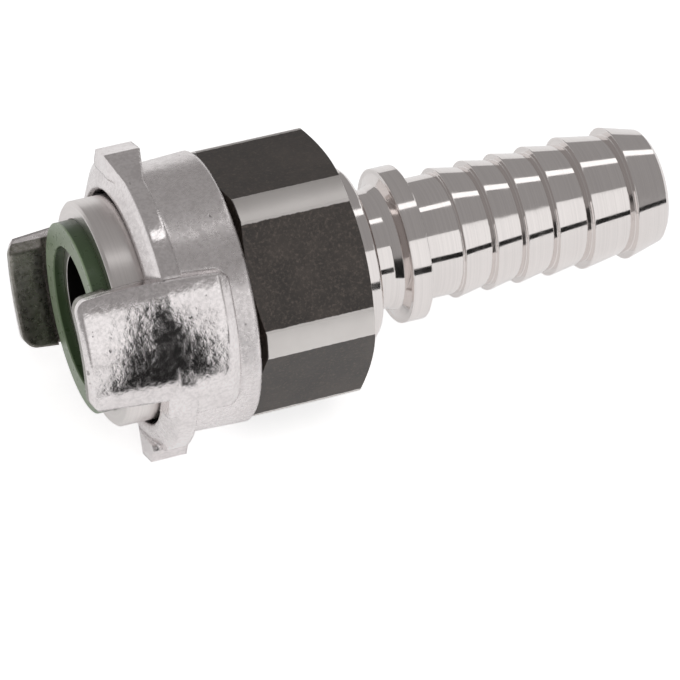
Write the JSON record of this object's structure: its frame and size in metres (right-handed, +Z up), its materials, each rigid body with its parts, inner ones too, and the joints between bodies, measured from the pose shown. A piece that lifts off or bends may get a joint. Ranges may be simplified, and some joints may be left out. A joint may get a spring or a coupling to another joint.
{
  "type": "claw hose coupling",
  "caption": "Swivelling claw coupling for a hose, with lugs on its cast head, a hexagon lock nut, a flat seal and a barbed hose tail with a safety collar.",
  "frame": {"origin": "on the turning axis, at the sealing face", "axes": "+X along the turning axis from the sealing face to the hose end, +Z up as it lies at rest on its flange, a lug and the nut"},
  "size_m": [0.1079, 0.0494, 0.0494],
  "materials": {
    "head": "bright zinc plated casting",
    "stem": "turned and polished",
    "nut": "dark mill scale on the flats, bright turned corners",
    "seal": "green elastomer"
  },
  "bodies": {
    "head": {"claw_head": "head"},
    "seal": {"seal_ring": "seal"},
    "stem": {"hose_stem": "stem"},
    "nut": {"lock_nut": "nut"}
  },
  "joints": [
    {"name": "nose_travel", "type": "slide", "parent": "head", "child": "seal", "axis": [1, 0, 0], "range_m": [-0.0002, 0.008]},
    {"name": "nut_turn", "type": "hinge", "parent": "seal", "child": "nut", "pos_m": [0.035, 0, 0], "axis": [1, 0, 0], "range_deg": [-36, 1439]},
    {"name": "swivel", "type": "hinge", "parent": "seal", "child": "stem", "pos_m": [0.057, 0, 0], "axis": [1, 0, 0], "continuous": true}
  ],
  "couplings": [
    {"joint": "nose_travel", "follows": "nut_turn", "m_per_rad": 0.00031831}
  ]
}
